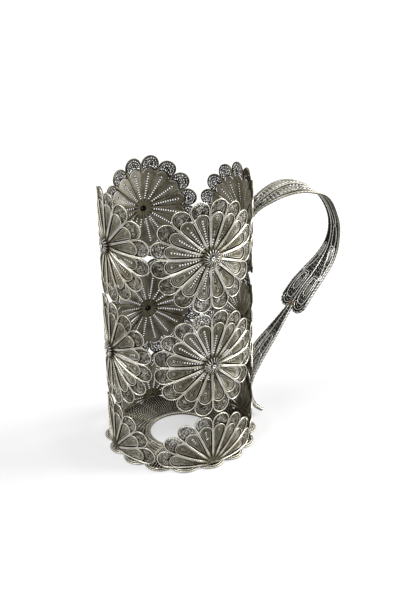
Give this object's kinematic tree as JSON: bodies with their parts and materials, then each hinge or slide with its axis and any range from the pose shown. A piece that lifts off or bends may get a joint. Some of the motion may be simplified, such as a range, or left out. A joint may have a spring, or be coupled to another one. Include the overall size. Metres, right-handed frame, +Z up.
{
  "type": "filigree glass holder",
  "caption": "Open cylindrical filigree holder for a tea glass, with walls of wire rosettes, a pierced scalloped base and a looped handle of leaf straps.",
  "frame": {"origin": "centre of the round hole at the underside of the base", "axes": "+Z up along the wall's axis, +X towards the handle"},
  "size_m": [0.1179, 0.0716, 0.1275],
  "materials": {
    "silver_wire": "bright twisted silver wire, darkened in the twist",
    "silver_filigree": "oxidised silver filigree, grey-brown in the recesses",
    "silver_boss": "oxidised coiled silver wire with light tops"
  },
  "bodies": {
    "root": {"front_bottom_frame": "silver_wire", "front_bottom_petals": "silver_filigree", "front_bottom_scrolls": "silver_filigree", "front_middle_frame": "silver_wire", "front_middle_petals": "silver_filigree", "front_middle_scrolls": "silver_filigree", "front_middle_boss": "silver_boss", "front_top_frame": "silver_wire", "front_top_petals": "silver_filigree", "front_top_scrolls": "silver_filigree", "front_top_boss": "silver_boss", "right_bottom_frame": "silver_wire", "right_bottom_petals": "silver_filigree", "right_bottom_scrolls": "silver_filigree", "right_middle_frame": "silver_wire", "right_middle_petals": "silver_filigree", "right_middle_scrolls": "silver_filigree", "right_middle_boss": "silver_boss", "right_top_frame": "silver_wire", "right_top_petals": "silver_filigree", "right_top_scrolls": "silver_filigree", "back_bottom_frame": "silver_wire", "back_bottom_petals": "silver_filigree", "back_bottom_scrolls": "silver_filigree", "back_middle_frame": "silver_wire", "back_middle_petals": "silver_filigree", "back_middle_scrolls": "silver_filigree", "back_middle_boss": "silver_boss", "back_top_frame": "silver_wire", "back_top_petals": "silver_filigree", "back_top_scrolls": "silver_filigree", "back_top_boss": "silver_boss", "left_bottom_frame": "silver_wire", "left_bottom_petals": "silver_filigree", "left_bottom_scrolls": "silver_filigree", "left_middle_frame": "silver_wire", "left_middle_petals": "silver_filigree", "left_middle_scrolls": "silver_filigree", "left_middle_boss": "silver_boss", "left_top_frame": "silver_wire", "left_top_petals": "silver_filigree", "left_top_scrolls": "silver_filigree", "left_top_boss": "silver_boss", "base_frame": "silver_wire", "base_filigree": "silver_filigree", "base_ring": "silver_wire", "handle_upper_edges": "silver_wire", "handle_upper_spine": "silver_wire", "handle_upper_filigree": "silver_filigree", "handle_upper_tips": "silver_wire", "handle_lower_edges": "silver_wire", "handle_lower_spine": "silver_wire", "handle_lower_filigree": "silver_filigree", "handle_tie": "silver_wire"}
  },
  "joints": []
}
